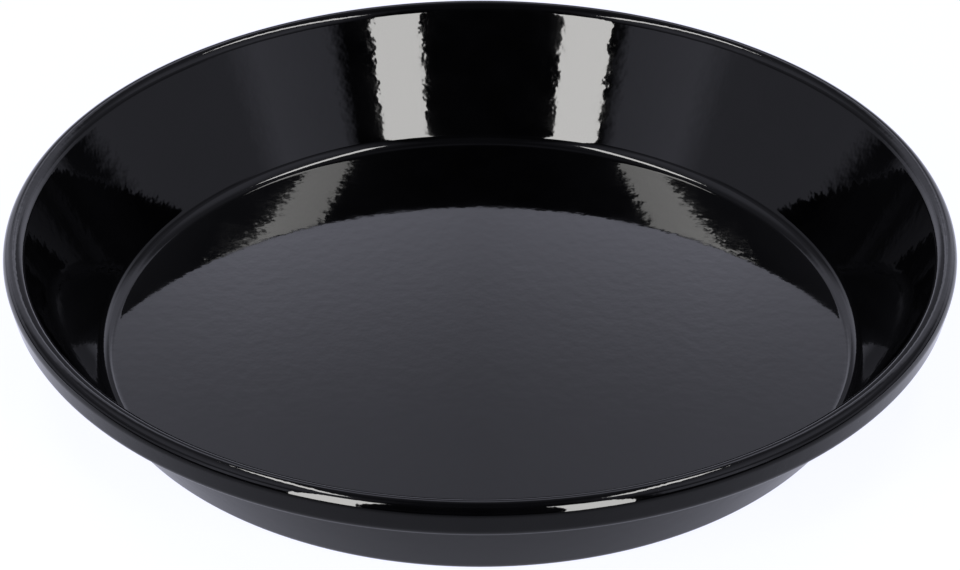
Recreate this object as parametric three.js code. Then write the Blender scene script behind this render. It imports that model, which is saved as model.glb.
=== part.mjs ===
// Round enamelled quiche pan: one drawn steel sheet with a rolled rim, and two coats of enamel on each face.
// Millimetres, +Z up, origin at the middle of the underside.
import * as THREE from 'three';

// Driving dimensions of the finished pan
const RIM_RADIUS = 140;
const HEIGHT = 41;
const FLOOR_RADIUS = 109.9;
const FLOOR_FILLET = 5.4;

// Rolled rim, measured on its outer face
const ROLL_INNER_RADIUS = 4.1;
const ROLL_TOP_RADIUS = 2.8;
const ROLL_SIDE_LEAN = THREE.MathUtils.degToRad(11.5);
const ROLL_SIDE_LENGTH = 5;
const ROLL_LOWER_RADIUS = 3.8;
const ROLL_END_GAP = 0.5;
const ROLL_MOST_TURN = THREE.MathUtils.degToRad(250);

// Thickness of each layer
const STEEL = 0.7;
const GROUND_COAT = 0.1;
const COVER_COAT = 0.15;
const BOND_LINE = 0.002;

// Steps of the curves
const ROUND_SEGMENTS = 48;
const FILLET_STEPS = 2;
const ROLL_INNER_STEPS = 2;
const ROLL_OUTER_STEPS = 3;
const ROLL_LOWER_STEPS = 4;

// Faces between the layers, as distances from the middle of the sheet towards the cooking side
const STEEL_FACE = STEEL / 2;
const GROUND_BACK = STEEL_FACE + BOND_LINE;
const GROUND_FACE = GROUND_BACK + GROUND_COAT;
const COVER_BACK = GROUND_FACE + BOND_LINE;
const COVER_FACE = COVER_BACK + COVER_COAT;
const SHEET = 2 * COVER_FACE;

// Middle line of the sheet: floor, fillet, wall, inner and top round of the roll, leaning side, lower round
const filletRadius = FLOOR_FILLET + COVER_FACE;
const innerRadius = ROLL_INNER_RADIUS - COVER_FACE;
const topRadius = ROLL_TOP_RADIUS - COVER_FACE;
const lowerRadius = ROLL_LOWER_RADIUS - COVER_FACE;
const crestRadius = RIM_RADIUS - ROLL_TOP_RADIUS;
const filletCentre = new THREE.Vector2(FLOOR_RADIUS, SHEET + FLOOR_FILLET);
const innerCentre = new THREE.Vector2(crestRadius, HEIGHT - ROLL_INNER_RADIUS);
const topCentre = new THREE.Vector2(crestRadius, HEIGHT - ROLL_TOP_RADIUS);

// The wall is the straight line that touches the fillet on one side and the inner round on the other
const span = innerCentre.clone().sub(filletCentre);
const wallHeading = span.angle() + Math.asin((filletRadius + innerRadius) / span.length());
const towardsInside = wallHeading + Math.PI / 2;
const wallNormal = new THREE.Vector2(Math.cos(towardsInside), Math.sin(towardsInside));

// The leaning side runs down from the top of the roll, and the lower round starts at its end
const sideNormal = new THREE.Vector2(Math.cos(-ROLL_SIDE_LEAN), Math.sin(-ROLL_SIDE_LEAN));
const sideDown = new THREE.Vector2(sideNormal.y, -sideNormal.x);
const lowerCentre = topCentre.clone()
  .addScaledVector(sideNormal, topRadius - lowerRadius)
  .addScaledVector(sideDown, ROLL_SIDE_LENGTH);

// The roll ends where its outer face would come nearer to the wall than the gap
const wallFoot = filletCentre.clone().addScaledVector(wallNormal, -filletRadius - COVER_FACE);
const roomAtWall = wallFoot.clone().sub(lowerCentre).dot(wallNormal);
const reach = THREE.MathUtils.clamp((roomAtWall - ROLL_END_GAP) / ROLL_LOWER_RADIUS, -1, 1);
const turnToWall = 2 * Math.PI - towardsInside - Math.acos(reach) - ROLL_SIDE_LEAN;
const coverTurn = Math.min(turnToWall, ROLL_MOST_TURN);
const coverBackTurn = coverTurn - COVER_COAT / lowerRadius;
const sheetTurn = coverBackTurn - BOND_LINE / lowerRadius;

// Point of a round at an angle
function onRound(centre, radius, angle) {
  return new THREE.Vector2(centre.x + radius * Math.cos(angle), centre.y + radius * Math.sin(angle));
}

// Angles from one to another in equal steps
function split(from, to, steps) {
  return Array.from({ length: steps + 1 }, (_, step) => from + (to - from) * step / steps);
}

// The roll has a corner at its highest and at its widest place
const filletAngles = split(-Math.PI / 2, wallHeading - Math.PI / 2, FILLET_STEPS);
const innerAngles = split(towardsInside, Math.PI / 2, ROLL_INNER_STEPS);
const topAngles = [...split(Math.PI / 2, 0, ROLL_OUTER_STEPS).slice(1), -ROLL_SIDE_LEAN];

// Section line of the sheet at a distance from its middle, from the axis to a turn of the lower round
function sheetLine(face, turn) {
  const floorHeight = filletCentre.y - filletRadius + face;
  const lowerAngles = split(-ROLL_SIDE_LEAN, -ROLL_SIDE_LEAN - turn, ROLL_LOWER_STEPS);
  return [
    new THREE.Vector2(0, floorHeight),
    ...filletAngles.map((angle) => onRound(filletCentre, filletRadius - face, angle)),
    ...innerAngles.map((angle) => onRound(innerCentre, innerRadius + face, angle)),
    ...topAngles.map((angle) => onRound(topCentre, topRadius + face, angle)),
    ...lowerAngles.map((angle) => onRound(lowerCentre, lowerRadius + face, angle)),
  ];
}

// Body of revolution between two faces of the sheet, with its axis turned from Y to Z
function revolve(section) {
  const geometry = new THREE.LatheGeometry(section, ROUND_SEGMENTS);
  geometry.rotateX(Math.PI / 2);
  return geometry;
}

function layer(lowFace, highFace) {
  return revolve([...sheetLine(lowFace, sheetTurn), ...sheetLine(highFace, sheetTurn).reverse()]);
}

// The inside cover runs over the rim and closes over the cut edge, as far as the inside of the roll
function insideCover() {
  const edgeRadius = lowerRadius - COVER_FACE;
  return revolve([
    ...sheetLine(COVER_BACK, coverBackTurn),
    onRound(lowerCentre, edgeRadius, -ROLL_SIDE_LEAN - coverBackTurn),
    onRound(lowerCentre, edgeRadius, -ROLL_SIDE_LEAN - coverTurn),
    ...sheetLine(COVER_FACE, coverTurn).reverse(),
  ]);
}

// Finishes
const bareSteel = { color: 0x8f9194, roughness: 0.45, metalness: 1 };
const groundEnamel = { color: 0x14161c, roughness: 0.5, metalness: 0 };
const blackEnamel = { color: 0x070708, roughness: 0.07, metalness: 0 };

function piece(name, geometry, finish) {
  const mesh = new THREE.Mesh(geometry, new THREE.MeshStandardMaterial(finish));
  mesh.name = name;
  return mesh;
}

const pan = new THREE.Group();
pan.add(
  piece('pressed_steel_pan', layer(-STEEL_FACE, STEEL_FACE), bareSteel),
  piece('ground_enamel_inside', layer(GROUND_BACK, GROUND_FACE), groundEnamel),
  piece('ground_enamel_outside', layer(-GROUND_FACE, -GROUND_BACK), groundEnamel),
  piece('cover_enamel_inside', insideCover(), blackEnamel),
  piece('cover_enamel_outside', layer(-COVER_FACE, -COVER_BACK), blackEnamel),
);

export default pan;
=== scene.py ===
"""Round quiche pan: one drawn steel sheet with a rolled rim, under two coats of black glass enamel."""
import math

import bmesh
import bpy
from mathutils import Matrix, Vector


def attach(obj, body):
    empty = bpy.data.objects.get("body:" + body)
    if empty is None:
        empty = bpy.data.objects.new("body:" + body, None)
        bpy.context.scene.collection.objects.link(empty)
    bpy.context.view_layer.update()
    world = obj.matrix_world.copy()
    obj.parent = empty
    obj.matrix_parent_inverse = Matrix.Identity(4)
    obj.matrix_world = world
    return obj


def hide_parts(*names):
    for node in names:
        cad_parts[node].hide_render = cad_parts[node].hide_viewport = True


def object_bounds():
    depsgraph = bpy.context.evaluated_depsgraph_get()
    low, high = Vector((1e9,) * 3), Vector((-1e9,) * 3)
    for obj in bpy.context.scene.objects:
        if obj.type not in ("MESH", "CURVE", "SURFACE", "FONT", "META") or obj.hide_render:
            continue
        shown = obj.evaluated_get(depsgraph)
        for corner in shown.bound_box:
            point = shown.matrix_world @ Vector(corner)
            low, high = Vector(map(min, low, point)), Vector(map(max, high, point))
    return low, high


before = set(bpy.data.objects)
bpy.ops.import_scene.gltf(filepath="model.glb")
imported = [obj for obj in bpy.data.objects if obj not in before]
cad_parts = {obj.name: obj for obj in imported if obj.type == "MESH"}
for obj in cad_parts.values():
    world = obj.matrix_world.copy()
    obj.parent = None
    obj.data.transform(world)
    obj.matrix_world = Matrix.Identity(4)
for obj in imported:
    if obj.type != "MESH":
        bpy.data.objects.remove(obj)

cad_low, cad_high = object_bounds()

# Driving dimensions of the finished pan, in metres
RIM_RADIUS = cad_high.x
HEIGHT = cad_high.z
FLOOR_RADIUS = 0.1099
FLOOR_FILLET = 0.0054

# Rolled rim, measured on its outer face
ROLL_INNER_RADIUS = 0.0041
ROLL_TOP_RADIUS = 0.0028
ROLL_SIDE_LEAN = math.radians(11.5)
ROLL_SIDE_LENGTH = 0.005
ROLL_LOWER_RADIUS = 0.0038
ROLL_END_GAP = 0.0005
ROLL_MOST_TURN = math.radians(250)
CUT_EDGE_ROUND = 0.00012

# Thickness of each layer
STEEL = 0.0007
GROUND_COAT = 0.0001
COVER_COAT = 0.00015
BOND_LINE = 0.000002

# Steps of the curves, all the same in every layer so that the layers nest
ROUND_STEPS = 240
FLOOR_RINGS = (0.2, 0.4, 0.6, 0.8, 0.93)
FILLET_STEPS = 14
ROLL_INNER_STEPS = 16
ROLL_OUTER_STEPS = 14
ROLL_LEAN_STEPS = 3
ROLL_LOWER_STEPS = 30
CUT_EDGE_STEPS = 4
SEAM_DISTANCE = 0.000001
SUPPORT = 0.0004
SHARP_ANGLE = math.radians(40)

# Faces between the layers, as distances from the middle of the sheet towards the cooking side
STEEL_FACE = STEEL / 2
GROUND_BACK = STEEL_FACE + BOND_LINE
GROUND_FACE = GROUND_BACK + GROUND_COAT
COVER_BACK = GROUND_FACE + BOND_LINE
COVER_FACE = COVER_BACK + COVER_COAT
SHEET = 2 * COVER_FACE


# Section of the sheet

def heading(angle):
    """Unit vector of the section plane at an angle."""
    return Vector((math.cos(angle), math.sin(angle)))


def split(start, end, steps):
    """Angles from one to another in equal steps."""
    return [start + (end - start) * step / steps for step in range(steps + 1)]


fillet_radius = FLOOR_FILLET + COVER_FACE
inner_radius = ROLL_INNER_RADIUS - COVER_FACE
top_radius = ROLL_TOP_RADIUS - COVER_FACE
lower_radius = ROLL_LOWER_RADIUS - COVER_FACE
crest_radius = RIM_RADIUS - ROLL_TOP_RADIUS
fillet_centre = Vector((FLOOR_RADIUS, SHEET + FLOOR_FILLET))
inner_centre = Vector((crest_radius, HEIGHT - ROLL_INNER_RADIUS))
top_centre = Vector((crest_radius, HEIGHT - ROLL_TOP_RADIUS))

# The wall is the straight line that touches the fillet on one side and the inner round on the other
span = inner_centre - fillet_centre
wall_heading = math.atan2(span.y, span.x) + math.asin((fillet_radius + inner_radius) / span.length)
towards_inside = wall_heading + math.pi / 2
wall_normal = heading(towards_inside)
wall_up = heading(wall_heading)

# The leaning side runs down from the top of the roll, and the lower round starts at its end
side_normal = heading(-ROLL_SIDE_LEAN)
side_down = Vector((side_normal.y, -side_normal.x))
lower_centre = top_centre + side_normal * (top_radius - lower_radius) + side_down * ROLL_SIDE_LENGTH

# The roll ends where its outer face would come nearer to the wall than the gap
wall_foot = fillet_centre - wall_normal * (fillet_radius + COVER_FACE)
room_at_wall = (wall_foot - lower_centre).dot(wall_normal)
reach = max(-1, min(1, (room_at_wall - ROLL_END_GAP) / ROLL_LOWER_RADIUS))
turn_to_wall = 2 * math.pi - towards_inside - math.acos(reach) - ROLL_SIDE_LEAN
cover_turn = min(turn_to_wall, ROLL_MOST_TURN)
cover_back_turn = cover_turn - COVER_COAT / lower_radius
sheet_turn = cover_back_turn - BOND_LINE / lower_radius

fillet_angles = split(-math.pi / 2, wall_heading - math.pi / 2, FILLET_STEPS)
inner_angles = split(towards_inside, math.pi / 2, ROLL_INNER_STEPS)
top_angles = split(math.pi / 2, 0, ROLL_OUTER_STEPS)[1:] + split(0, -ROLL_SIDE_LEAN, ROLL_LEAN_STEPS)[1:]


def sheet_line(face, turn):
    """Section line at a distance from the middle of the sheet, from the axis to a turn of the lower round."""
    floor_height = fillet_centre.y - fillet_radius + face
    fillet = [fillet_centre + heading(angle) * (fillet_radius - face) for angle in fillet_angles]
    top = [inner_centre + heading(angle) * (inner_radius + face) for angle in inner_angles]
    top += [top_centre + heading(angle) * (top_radius + face) for angle in top_angles]
    lower_angles = split(-ROLL_SIDE_LEAN, -ROLL_SIDE_LEAN - turn, ROLL_LOWER_STEPS)
    lower = [lower_centre + heading(angle) * (lower_radius + face) for angle in lower_angles]
    floor = [Vector((0, floor_height))]
    floor += [Vector((FLOOR_RADIUS * share, floor_height)) for share in FLOOR_RINGS]
    floor += [Vector((FLOOR_RADIUS - SUPPORT, floor_height))]
    wall = [fillet[-1] + wall_up * SUPPORT, top[0] - wall_up * SUPPORT]
    side = [top[-1] + side_down * SUPPORT, lower[0] - side_down * SUPPORT]
    return floor + fillet + wall + top + side + lower


def layer_section(low_face, high_face):
    """Section of one layer between two faces of the sheet."""
    return sheet_line(low_face, sheet_turn) + sheet_line(high_face, sheet_turn)[::-1]


def inside_cover_section():
    """Section of the coat that runs over the rim and closes over the cut edge with rounded corners."""
    end_angle = -ROLL_SIDE_LEAN - cover_turn
    outward = heading(end_angle)
    onward = Vector((outward.y, -outward.x))
    end_middle = lower_centre + outward * lower_radius
    corner_turn = CUT_EDGE_ROUND / ROLL_LOWER_RADIUS
    cut_edge = []
    for side, start, end in ((-1, -math.pi / 2, 0), (1, 0, math.pi / 2)):
        corner = end_middle + outward * side * (COVER_FACE - CUT_EDGE_ROUND) - onward * CUT_EDGE_ROUND
        for angle in split(start, end, CUT_EDGE_STEPS):
            around = heading(angle) * CUT_EDGE_ROUND
            cut_edge.append(corner + onward * around.x + outward * around.y)
    back = sheet_line(COVER_BACK, cover_back_turn)
    back_end = lower_centre + heading(-ROLL_SIDE_LEAN - cover_back_turn) * (lower_radius - COVER_FACE)
    return back + [back_end] + cut_edge + sheet_line(COVER_FACE, cover_turn - corner_turn)[:-1][::-1]


# Geometry Nodes tree that turns a section round the axis

def link(tree, *ends):
    """Links output and input sockets, given in pairs."""
    for output, target in zip(ends[::2], ends[1::2]):
        tree.links.new(output, target)


def make_revolve_tree():
    tree = bpy.data.node_groups.new("turn_section_round_axis", "GeometryNodeTree")
    sockets = tree.interface
    sockets.new_socket("Section", in_out="INPUT", socket_type="NodeSocketGeometry")
    sockets.new_socket("Round Steps", in_out="INPUT", socket_type="NodeSocketInt")
    sockets.new_socket("Seam Distance", in_out="INPUT", socket_type="NodeSocketFloat")
    sockets.new_socket("Finish", in_out="INPUT", socket_type="NodeSocketMaterial")
    sockets.new_socket("Pan Layer", in_out="OUTPUT", socket_type="NodeSocketGeometry")
    add = tree.nodes.new
    source = add("NodeGroupInput")
    result = add("NodeGroupOutput")

    # One row of the grid for each step round the axis, one column for each point of the section
    count = add("GeometryNodeAttributeDomainSize")
    rows = add("FunctionNodeIntegerMath")
    rows.operation = "ADD"
    rows.inputs[1].default_value = 1
    grid = add("GeometryNodeMeshGrid")
    link(
        tree,
        source.outputs["Section"], count.inputs["Geometry"],
        source.outputs["Round Steps"], rows.inputs[0],
        rows.outputs[0], grid.inputs["Vertices X"],
        count.outputs["Point Count"], grid.inputs["Vertices Y"],
    )

    # Each grid point takes the section point of its column
    index = add("GeometryNodeInputIndex")
    column = add("FunctionNodeIntegerMath")
    column.operation = "MODULO"
    row = add("FunctionNodeIntegerMath")
    row.operation = "DIVIDE_FLOOR"
    place = add("GeometryNodeInputPosition")
    sample = add("GeometryNodeSampleIndex")
    sample.data_type = "FLOAT_VECTOR"
    link(
        tree,
        index.outputs[0], column.inputs[0],
        count.outputs["Point Count"], column.inputs[1],
        index.outputs[0], row.inputs[0],
        count.outputs["Point Count"], row.inputs[1],
        source.outputs["Section"], sample.inputs["Geometry"],
        place.outputs[0], sample.inputs["Value"],
        column.outputs[0], sample.inputs["Index"],
    )

    # The row gives the angle round the axis
    share = add("ShaderNodeMath")
    share.operation = "DIVIDE"
    angle = add("ShaderNodeMath")
    angle.operation = "MULTIPLY"
    angle.inputs[1].default_value = 2 * math.pi
    turned = add("ShaderNodeVectorRotate")
    turned.rotation_type = "Z_AXIS"
    moved = add("GeometryNodeSetPosition")
    link(
        tree,
        row.outputs[0], share.inputs[0],
        source.outputs["Round Steps"], share.inputs[1],
        share.outputs[0], angle.inputs[0],
        sample.outputs[0], turned.inputs["Vector"],
        angle.outputs[0], turned.inputs["Angle"],
        grid.outputs["Mesh"], moved.inputs["Geometry"],
        turned.outputs[0], moved.inputs["Position"],
    )

    # Seam and poles are closed before the finish goes on
    closed = add("GeometryNodeMergeByDistance")
    smooth = add("GeometryNodeSetShadeSmooth")
    realized = add("GeometryNodeRealizeInstances")
    finish = add("GeometryNodeSetMaterial")
    link(
        tree,
        moved.outputs[0], closed.inputs["Geometry"],
        source.outputs["Seam Distance"], closed.inputs["Distance"],
        closed.outputs[0], smooth.inputs["Geometry"],
        smooth.outputs[0], realized.inputs["Geometry"],
        realized.outputs[0], finish.inputs["Geometry"],
        source.outputs["Finish"], finish.inputs["Material"],
        finish.outputs[0], result.inputs["Pan Layer"],
    )
    return tree


def set_input(modifier, name, value):
    """Sets a modifier's input by the identifier of the socket with that name."""
    for item in modifier.node_group.interface.items_tree:
        if item.item_type == "SOCKET" and item.in_out == "INPUT" and item.name == name:
            modifier[item.identifier] = value


def pan_layer(name, section, finish, tree):
    """Solid of revolution of a section, as a plain mesh at the origin."""
    section_mesh = bpy.data.meshes.new(name + "_section")
    section_mesh.from_pydata([(point.x, 0, point.y) for point in section], [], [])
    former = bpy.data.objects.new(name + "_former", section_mesh)
    bpy.context.scene.collection.objects.link(former)
    revolve = former.modifiers.new("revolve", "NODES")
    revolve.node_group = tree
    set_input(revolve, "Round Steps", ROUND_STEPS)
    set_input(revolve, "Seam Distance", SEAM_DISTANCE)
    set_input(revolve, "Finish", finish)
    depsgraph = bpy.context.evaluated_depsgraph_get()
    mesh = bpy.data.meshes.new_from_object(former.evaluated_get(depsgraph), depsgraph=depsgraph)
    former.modifiers.remove(revolve)
    bpy.data.objects.remove(former)
    mesh.name = name
    form = bmesh.new()
    form.from_mesh(mesh)
    bmesh.ops.recalc_face_normals(form, faces=form.faces)
    for edge in form.edges:
        edge.smooth = edge.calc_face_angle(0) < SHARP_ANGLE
    form.to_mesh(mesh)
    form.free()
    piece = bpy.data.objects.new(name, mesh)
    bpy.context.scene.collection.objects.link(piece)
    return piece


# Shared effect of fired enamel: a ripple that is deeper on the wall than on the floor, uneven gloss, pinholes

RIPPLE_SIZE = 0.0032
FINE_RIPPLE_SIZE = 0.0013
SWELL_SIZE = 0.025
MOTTLE_SIZE = 0.012
MOTTLE_DETAIL = 3.0
MOTTLE_RANGE = (0.3, 0.7)
RUN_FROM = 0.003
RUN_TO = 0.012
RUN_GAIN = 2.8
PINHOLE_SPACING = 0.006
PINHOLE_EDGE = (0.02, 0.05)


def noise(tree, coordinates, feature_size, detail=0.0):
    """Noise between 0 and 1 whose features have a size in metres."""
    node = tree.nodes.new("ShaderNodeTexNoise")
    node.inputs["Scale"].default_value = 1 / feature_size
    node.inputs["Detail"].default_value = detail
    tree.links.new(coordinates, node.inputs["Vector"])
    return node.outputs["Fac"]


def math_node(tree, operation, first, second):
    node = tree.nodes.new("ShaderNodeMath")
    node.operation = operation
    for socket, value in zip(node.inputs, (first, second)):
        if isinstance(value, (int, float)):
            socket.default_value = value
        else:
            tree.links.new(value, socket)
    return node.outputs[0]


def map_range(tree, value, low, high, to_low, to_high):
    node = tree.nodes.new("ShaderNodeMapRange")
    node.interpolation_type = "SMOOTHSTEP"
    numbers = (low, high, to_low, to_high)
    for name, number in zip(("From Min", "From Max", "To Min", "To Max"), numbers):
        node.inputs[name].default_value = number
    tree.links.new(value, node.inputs["Value"])
    return node.outputs["Result"]


def map_range_linear(tree, value, low, high, to_low, to_high):
    socket = map_range(tree, value, low, high, to_low, to_high)
    socket.node.interpolation_type = "LINEAR"
    return socket


def make_fired_surface_group():
    group = bpy.data.node_groups.new("fired_enamel_surface", "ShaderNodeTree")
    sockets = group.interface
    for name in ("Ripple", "Fine Ripple", "Swell"):
        sockets.new_socket(name, in_out="INPUT", socket_type="NodeSocketFloat")
    for name in ("Height", "Mottle", "Pinholes"):
        sockets.new_socket(name, in_out="OUTPUT", socket_type="NodeSocketFloat")
    source = group.nodes.new("NodeGroupInput")
    result = group.nodes.new("NodeGroupOutput")
    place = group.nodes.new("ShaderNodeTexCoord").outputs["Object"]
    parts = group.nodes.new("ShaderNodeSeparateXYZ")
    link(group, place, parts.inputs[0])
    run = map_range(group, parts.outputs["Z"], RUN_FROM, RUN_TO, 1.0, RUN_GAIN)
    height = 0.0
    sizes = (("Ripple", RIPPLE_SIZE), ("Fine Ripple", FINE_RIPPLE_SIZE), ("Swell", SWELL_SIZE))
    for name, feature_size in sizes:
        depth = math_node(group, "MULTIPLY", source.outputs[name], run)
        wave = math_node(group, "MULTIPLY", noise(group, place, feature_size), depth)
        height = math_node(group, "ADD", wave, height)
    mottle = map_range(group, noise(group, place, MOTTLE_SIZE, MOTTLE_DETAIL), *MOTTLE_RANGE, 0.0, 1.0)
    holes = group.nodes.new("ShaderNodeTexVoronoi")
    holes.inputs["Scale"].default_value = 1 / PINHOLE_SPACING
    link(group, place, holes.inputs["Vector"])
    pinholes = map_range(group, holes.outputs["Distance"], *PINHOLE_EDGE, 1.0, 0.0)
    link(
        group,
        height, result.inputs["Height"],
        mottle, result.inputs["Mottle"],
        pinholes, result.inputs["Pinholes"],
    )
    return group


def new_finish(name):
    """Material with its node tree and its Principled shader."""
    finish = bpy.data.materials.new(name)
    finish.use_nodes = True
    return finish, finish.node_tree, finish.node_tree.nodes["Principled BSDF"]


def fired_surface(tree, group, ripple, fine_ripple, swell):
    node = tree.nodes.new("ShaderNodeGroup")
    node.node_tree = group
    node.inputs["Ripple"].default_value = ripple
    node.inputs["Fine Ripple"].default_value = fine_ripple
    node.inputs["Swell"].default_value = swell
    return node


def mix_colour(tree, factor, first, second):
    node = tree.nodes.new("ShaderNodeMix")
    node.data_type = "RGBA"
    node.inputs["A"].default_value = (*first, 1)
    node.inputs["B"].default_value = (*second, 1)
    tree.links.new(factor, node.inputs["Factor"])
    return node.outputs["Result"]


def bump(tree, height, shader):
    node = tree.nodes.new("ShaderNodeBump")
    node.inputs["Strength"].default_value = 1
    node.inputs["Distance"].default_value = 1
    link(tree, height, node.inputs["Height"], node.outputs["Normal"], shader.inputs["Normal"])


# Finishes of the pan: depths in metres, and pairs that run from one end of the mottle to the other

ENAMEL_IOR = 1.5
COVER_RIPPLE = 8e-6
COVER_FINE_RIPPLE = 3e-6
COVER_SWELL = 8e-6
COVER_COLOURS = ((0.0003, 0.0003, 0.0004), (0.0006, 0.0006, 0.0008))
COVER_ROUGHNESS = (0.03, 0.05)
GROUND_RIPPLE = 1e-5
GROUND_FINE_RIPPLE = 4e-6
GROUND_COLOURS = ((0.006, 0.007, 0.012), (0.012, 0.013, 0.018))
GROUND_ROUGHNESS = (0.42, 0.6)
PINHOLE_DEPTH = 3e-5
STEEL_GRAIN_SIZE = 0.0008
STEEL_GRAIN_DETAIL = 3.0
STEEL_GRAIN_RANGE = (0.3, 0.7)
STEEL_GRAIN_DEPTH = 2e-6
STEEL_CLOUD_SIZE = 0.02
STEEL_CLOUD_DETAIL = 4.0
STEEL_COLOURS = ((0.24, 0.24, 0.245), (0.31, 0.31, 0.315))
STEEL_ROUGHNESS = (0.4, 0.55)


def black_cover_enamel(group):
    """Gloss black glass, with the ripple of a coat that was dipped and fired."""
    finish, tree, shader = new_finish("black_cover_enamel")
    surface = fired_surface(tree, group, COVER_RIPPLE, COVER_FINE_RIPPLE, COVER_SWELL)
    shader.inputs["IOR"].default_value = ENAMEL_IOR
    colour = mix_colour(tree, surface.outputs["Mottle"], *COVER_COLOURS)
    gloss = map_range(tree, surface.outputs["Mottle"], 0, 1, *COVER_ROUGHNESS)
    link(tree, colour, shader.inputs["Base Color"], gloss, shader.inputs["Roughness"])
    bump(tree, surface.outputs["Height"], shader)
    return finish


def ground_enamel(group):
    """Satin blue-black first coat, dulled and pitted by the gas of its firing."""
    finish, tree, shader = new_finish("ground_enamel")
    surface = fired_surface(tree, group, GROUND_RIPPLE, GROUND_FINE_RIPPLE, swell=0)
    pits = math_node(tree, "MULTIPLY", surface.outputs["Pinholes"], -PINHOLE_DEPTH)
    shader.inputs["IOR"].default_value = ENAMEL_IOR
    colour = mix_colour(tree, surface.outputs["Mottle"], *GROUND_COLOURS)
    gloss = map_range(tree, surface.outputs["Mottle"], 0, 1, *GROUND_ROUGHNESS)
    link(tree, colour, shader.inputs["Base Color"], gloss, shader.inputs["Roughness"])
    bump(tree, math_node(tree, "ADD", surface.outputs["Height"], pits), shader)
    return finish


def pressed_steel():
    """Bare steel sheet, pickled dull before it is coated."""
    finish, tree, shader = new_finish("pressed_steel")
    place = tree.nodes.new("ShaderNodeTexCoord").outputs["Object"]
    grain = noise(tree, place, STEEL_GRAIN_SIZE, STEEL_GRAIN_DETAIL)
    cloud = noise(tree, place, STEEL_CLOUD_SIZE, STEEL_CLOUD_DETAIL)
    shader.inputs["Metallic"].default_value = 1
    colour = mix_colour(tree, cloud, *STEEL_COLOURS)
    gloss = map_range(tree, grain, *STEEL_GRAIN_RANGE, *STEEL_ROUGHNESS)
    height = math_node(tree, "MULTIPLY", grain, STEEL_GRAIN_DEPTH)
    link(tree, colour, shader.inputs["Base Color"], gloss, shader.inputs["Roughness"])
    bump(tree, height, shader)
    return finish


# Pieces of the pan

revolve_tree = make_revolve_tree()
fired_surface_group = make_fired_surface_group()
cover_finish = black_cover_enamel(fired_surface_group)
ground_finish = ground_enamel(fired_surface_group)
steel_finish = pressed_steel()

pan_layers = (
    ("steel_sheet", "pressed_steel_pan", "pressed_steel",
     layer_section(-STEEL_FACE, STEEL_FACE), steel_finish),
    ("first_coat_cooking_side", "ground_enamel_inside", "ground_enamel",
     layer_section(GROUND_BACK, GROUND_FACE), ground_finish),
    ("first_coat_underside", "ground_enamel_outside", "ground_enamel",
     layer_section(-GROUND_FACE, -GROUND_BACK), ground_finish),
    ("gloss_coat_cooking_side", "cover_enamel_inside", "black_cover_enamel",
     inside_cover_section(), cover_finish),
    ("gloss_coat_underside", "cover_enamel_outside", "black_cover_enamel",
     layer_section(-COVER_FACE, -COVER_BACK), cover_finish),
)
for piece_name, node, slot, section, finish in pan_layers:
    piece = pan_layer(piece_name, section, finish, revolve_tree)
    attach(piece, "root")
    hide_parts(node)


# Stage: a pale table, strip lights above and in front, and a soft surround

TABLE_SIZE = 30.0
TABLE_WHITE = (0.8, 0.8, 0.8)
TABLE_ROUGHNESS = 0.9
TABLE_GLOW = (1.05, 1.07, 1.28)
TABLE_WHITENING = 0.85
TABLE_REACH = 0.3

# Share of the table that reflections keep, by place from front to back; the rest is painted shade in front of
# the pan, seen only in reflections, where the dark surround shows instead
TABLE_KEPT_UNDER_PAINTED_SHADE = ((-0.27, 0.0), (-0.12, 0.34), (0.0, 0.86), (0.06, 1.0))

# Strip lights: name, two ends, width and radiance
RADIANCE_TO_POWER = math.pi
LAMP_WHITE = (1.0, 0.99, 0.975)
OVERHEAD_STRIPS = (
    ("overhead_left", (-0.83, -0.5, 2.44), (-0.675, 1.32, 2.44), 0.18, 12.0),
    ("overhead_right", (0.76, -0.4, 2.44), (0.66, 1.32, 2.44), 0.18, 12.0),
)
FRONT_STRIPS = (
    ("front_left", (-0.424, -0.701, -0.107), (-0.424, -0.701, 0.915), 0.233, 12.4),
    ("front_right", (0.399, -0.888, -0.214), (0.399, -0.888, 0.991), 0.255, 11.9),
)

# Surround: rows of levels by the angle from the camera side in degrees, the same on the left and the right
SURROUND_TINT = (0.93, 0.94, 1.12)
SURROUND_HORIZON = ((122, 0.03), (132, 0.52), (150, 0.87), (180, 0.9))
SURROUND_LOW = (
    (37, 0.01), (41, 0.58), (60, 0.74), (69, 0.42), (118, 0.33),
    (146, 1.12), (154, 1.0), (162, 0.3), (170, 0.2),
)
SURROUND_MIDDLE = (
    (37, 0.01), (41, 0.58), (60, 0.74), (80, 0.16), (130, 0.18),
    (146, 0.93), (154, 0.9), (162, 0.35), (180, 0.2),
)
SURROUND_BACK = ((40, 0.01), (60, 0.18), (130, 0.18), (146, 0.75), (169, 0.82), (175, 1.6), (180, 1.17))
SURROUND_HIGH = ((30, 0.01), (50, 0.25), (135, 0.25), (150, 0.74), (170, 0.75), (180, 0.57))
SURROUND_TOP = ((30, 0.02), (60, 0.62), (120, 0.5), (145, 0.22), (180, 0.12))

# Heights, as the sine of the elevation, between which each row takes over from the one below it
SURROUND_ROWS = (
    (-0.1, 0.0, SURROUND_HORIZON),
    (0.085, 0.145, SURROUND_LOW),
    (0.33, 0.4, SURROUND_MIDDLE),
    (0.46, 0.5, SURROUND_BACK),
    (0.505, 0.585, SURROUND_HIGH),
    (0.63, 0.69, SURROUND_TOP),
)

# Fade of the surround by height towards the zenith, and the grey that is left there
SURROUND_FADE = ((0.8, 1.0), (0.92, 0.6), (1.0, 0.08))
OVERHEAD_GREY = 0.05
OVERHEAD_HEIGHTS = (0.8, 0.95)


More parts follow.
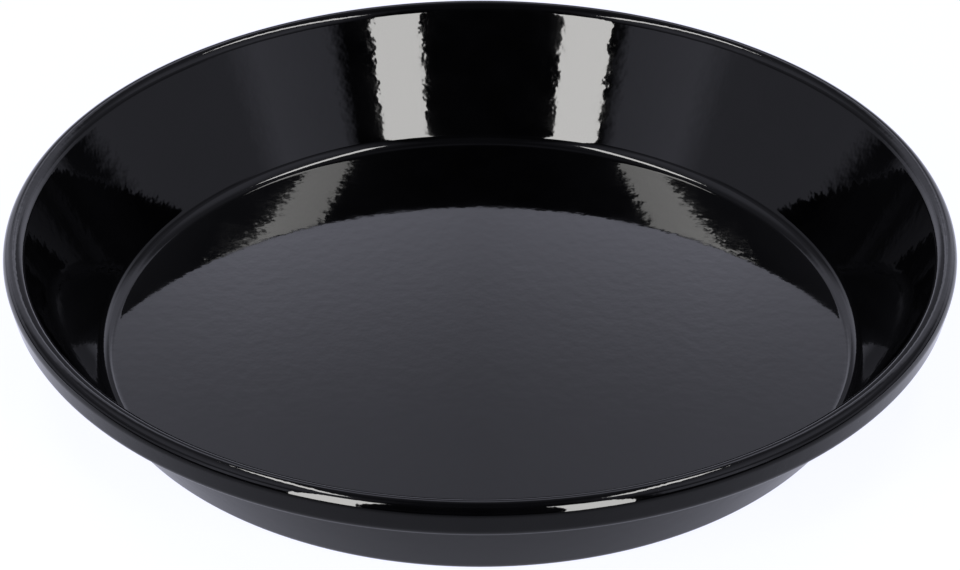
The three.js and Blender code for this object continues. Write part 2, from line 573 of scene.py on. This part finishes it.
def ramp(tree, factor, stops):
    """Grey levels at positions between 0 and 1."""
    node = tree.nodes.new("ShaderNodeValToRGB")
    elements = node.color_ramp.elements
    while len(elements) < len(stops):
        elements.new(0.5)
    for element, (position, level) in zip(elements, stops):
        element.position = position
        element.color = (level, level, level, 1)
    tree.links.new(factor, node.inputs["Fac"])
    return node.outputs["Color"]


def make_table():
    """White for the camera, with the pan's shadow on it; in reflections it fades out in front of the pan, a
    painted shade that only reflections see.
    """
    half = TABLE_SIZE / 2
    mesh = bpy.data.meshes.new("table")
    corners = [(-half, -half, 0), (half, -half, 0), (half, half, 0), (-half, half, 0)]
    mesh.from_pydata(corners, [], [(0, 1, 2, 3)])
    table = bpy.data.objects.new("table", mesh)
    bpy.context.scene.collection.objects.link(table)
    finish, tree, shader = new_finish("table_white")
    shader.inputs["Base Color"].default_value = (*TABLE_WHITE, 1)
    shader.inputs["Roughness"].default_value = TABLE_ROUGHNESS
    shader.inputs["Specular IOR Level"].default_value = 0.0
    path = tree.nodes.new("ShaderNodeLightPath")
    glow = tree.nodes.new("ShaderNodeEmission")
    clear = tree.nodes.new("ShaderNodeBsdfTransparent")
    whitened = tree.nodes.new("ShaderNodeMixShader")
    painted_shade_mix = tree.nodes.new("ShaderNodeMixShader")
    parts = tree.nodes.new("ShaderNodeSeparateXYZ")
    place = tree.nodes.new("ShaderNodeTexCoord").outputs["Object"]
    link(tree, place, parts.inputs[0])
    across = map_range_linear(tree, parts.outputs["Y"], -TABLE_REACH, TABLE_REACH, 0, 1)
    stops = [((place_y + TABLE_REACH) / (2 * TABLE_REACH), level) for place_y, level in TABLE_KEPT_UNDER_PAINTED_SHADE]
    # Painted shade: reflections see the table fade out in front of the pan, so that the dark surround shows
    # there
    painted_shade = math_node(tree, "SUBTRACT", 1, ramp(tree, across, stops))
    seen = math_node(tree, "MAXIMUM", path.outputs["Is Camera Ray"], path.outputs["Is Glossy Ray"])
    glow.inputs["Color"].default_value = (*TABLE_GLOW, 1)
    link(
        tree,
        math_node(tree, "MULTIPLY", seen, TABLE_WHITENING), whitened.inputs["Fac"],
        shader.outputs["BSDF"], whitened.inputs[1],
        glow.outputs["Emission"], whitened.inputs[2],
        math_node(tree, "MULTIPLY", path.outputs["Is Glossy Ray"], painted_shade), painted_shade_mix.inputs["Fac"],
        whitened.outputs["Shader"], painted_shade_mix.inputs[1],
        clear.outputs["BSDF"], painted_shade_mix.inputs[2],
        painted_shade_mix.outputs["Shader"], tree.nodes["Material Output"].inputs["Surface"],
    )
    mesh.materials.append(finish)


def soft_light(name, start, end, width, towards, radiance):
    """Rectangular soft light from one end to the other, shining in a direction, unseen by the camera."""
    start = Vector(start)
    along = Vector(end) - start
    lamp = bpy.data.lights.new(name, "AREA")
    lamp.shape = "RECTANGLE"
    lamp.size = along.length
    lamp.size_y = width
    lamp.energy = radiance * RADIANCE_TO_POWER * along.length * width
    lamp.color = LAMP_WHITE
    light = bpy.data.objects.new(name, lamp)
    light.location = start + along / 2
    side = along.normalized()
    across = side.cross(towards).normalized()
    turn = Matrix((side, across, side.cross(across))).transposed()
    light.rotation_euler = turn.to_euler()
    light.visible_camera = False
    bpy.context.scene.collection.objects.link(light)


def make_lights():
    for name, near, far, width, radiance in OVERHEAD_STRIPS:
        soft_light(name, near, far, width, Vector((0, 0, -1)), radiance)
    for name, low, high, width, radiance in FRONT_STRIPS:
        soft_light(name, low, high, width, Vector((0, 1, 0)), radiance)


def make_surround():
    """White behind the pan, greyer at the sides, dark towards the camera and overhead."""
    world = bpy.data.worlds.new("studio")
    world.use_nodes = True
    bpy.context.scene.world = world
    tree = world.node_tree
    direction = tree.nodes.new("ShaderNodeTexCoord").outputs["Generated"]
    parts = tree.nodes.new("ShaderNodeSeparateXYZ")
    link(tree, direction, parts.inputs[0])
    towards_camera = math_node(tree, "MULTIPLY", parts.outputs["Y"], -1)
    azimuth = math_node(tree, "ARCTAN2", parts.outputs["X"], towards_camera)
    either_side = math_node(tree, "ABSOLUTE", azimuth, 0)
    turn = map_range_linear(tree, either_side, 0, math.pi, 0, 1)
    level = 0.0
    for start, full, stops in SURROUND_ROWS:
        row = ramp(tree, turn, [(math.radians(angle) / math.pi, shade) for angle, shade in stops])
        share = map_range(tree, parts.outputs["Z"], start, full, 0, 1)
        change = math_node(tree, "MULTIPLY", math_node(tree, "SUBTRACT", row, level), share)
        level = math_node(tree, "ADD", level, change)
    fade = ramp(tree, parts.outputs["Z"], SURROUND_FADE)
    overhead = map_range(tree, parts.outputs["Z"], *OVERHEAD_HEIGHTS, 0, OVERHEAD_GREY)
    shade = math_node(tree, "MAXIMUM", math_node(tree, "MULTIPLY", level, fade), overhead)
    tint = tree.nodes.new("ShaderNodeVectorMath")
    tint.operation = "SCALE"
    tint.inputs[0].default_value = SURROUND_TINT
    link(
        tree,
        shade, tint.inputs["Scale"],
        tint.outputs["Vector"], tree.nodes["Background"].inputs["Color"],
    )


make_table()
make_lights()
make_surround()

# Camera at the photograph's viewing angle
CAMERA_PLACE = (0, -0.80077, 0.54223)
CAMERA_PITCH = math.radians(33.1835)
CAMERA_LENS = 120
CAMERA_SENSOR = 36
CAMERA_CLIP = 0.01
camera = bpy.data.objects.new("camera", bpy.data.cameras.new("camera"))
camera.location = CAMERA_PLACE
camera.rotation_euler = (math.pi / 2 - CAMERA_PITCH, 0, 0)
camera.data.lens = CAMERA_LENS
camera.data.sensor_width = CAMERA_SENSOR
camera.data.clip_start = CAMERA_CLIP
bpy.context.scene.collection.objects.link(camera)
bpy.context.scene.camera = camera
bpy.context.scene.view_settings.view_transform = "Standard"
